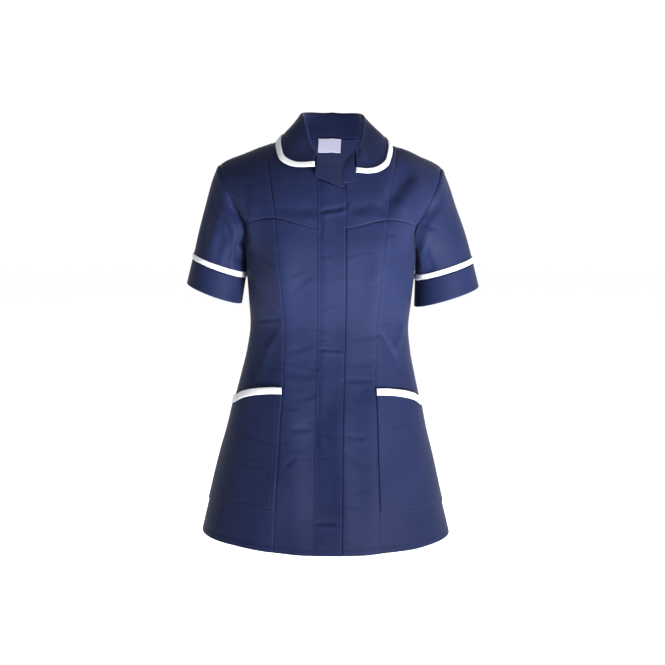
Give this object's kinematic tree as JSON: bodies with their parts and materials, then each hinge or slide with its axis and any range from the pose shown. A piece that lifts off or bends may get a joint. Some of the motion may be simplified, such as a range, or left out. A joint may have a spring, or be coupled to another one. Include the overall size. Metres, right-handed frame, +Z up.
{
  "type": "work tunic",
  "caption": "Fitted work tunic with short cuffed sleeves, round turned-down collar, covered front closing and side pockets, filled out as if worn.",
  "frame": {"origin": "midway between the shoulders, on the level at which they carry the tunic", "axes": "+Z up along the body, +X to the viewer's right when the front is seen, the front faces -Y"},
  "size_m": [0.5158, 0.2993, 0.7502],
  "materials": {
    "navy_cloth": "matt poly-cotton twill",
    "white_braid": "matt woven braid",
    "label_white": "satin woven label, blank",
    "zip_tape": "woven tape"
  },
  "bodies": {
    "root": {"back": "navy_cloth", "collar": "navy_cloth", "collar_trim": "white_braid", "cuff_left": "navy_cloth", "cuff_right": "navy_cloth", "front_centre_left": "navy_cloth", "front_centre_right": "navy_cloth", "front_side_left": "navy_cloth", "front_side_right": "navy_cloth", "label": "label_white", "lapel_left": "navy_cloth", "lapel_right": "navy_cloth", "placket": "navy_cloth", "pocket_left": "navy_cloth", "pocket_right": "navy_cloth", "pocket_trim_left": "white_braid", "pocket_trim_right": "white_braid", "sleeve_left": "navy_cloth", "sleeve_right": "navy_cloth", "sleeve_trim_left": "white_braid", "sleeve_trim_right": "white_braid", "yoke_centre_left": "navy_cloth", "yoke_centre_right": "navy_cloth", "yoke_side_left": "navy_cloth", "yoke_side_right": "navy_cloth", "zip": "zip_tape"}
  },
  "joints": []
}
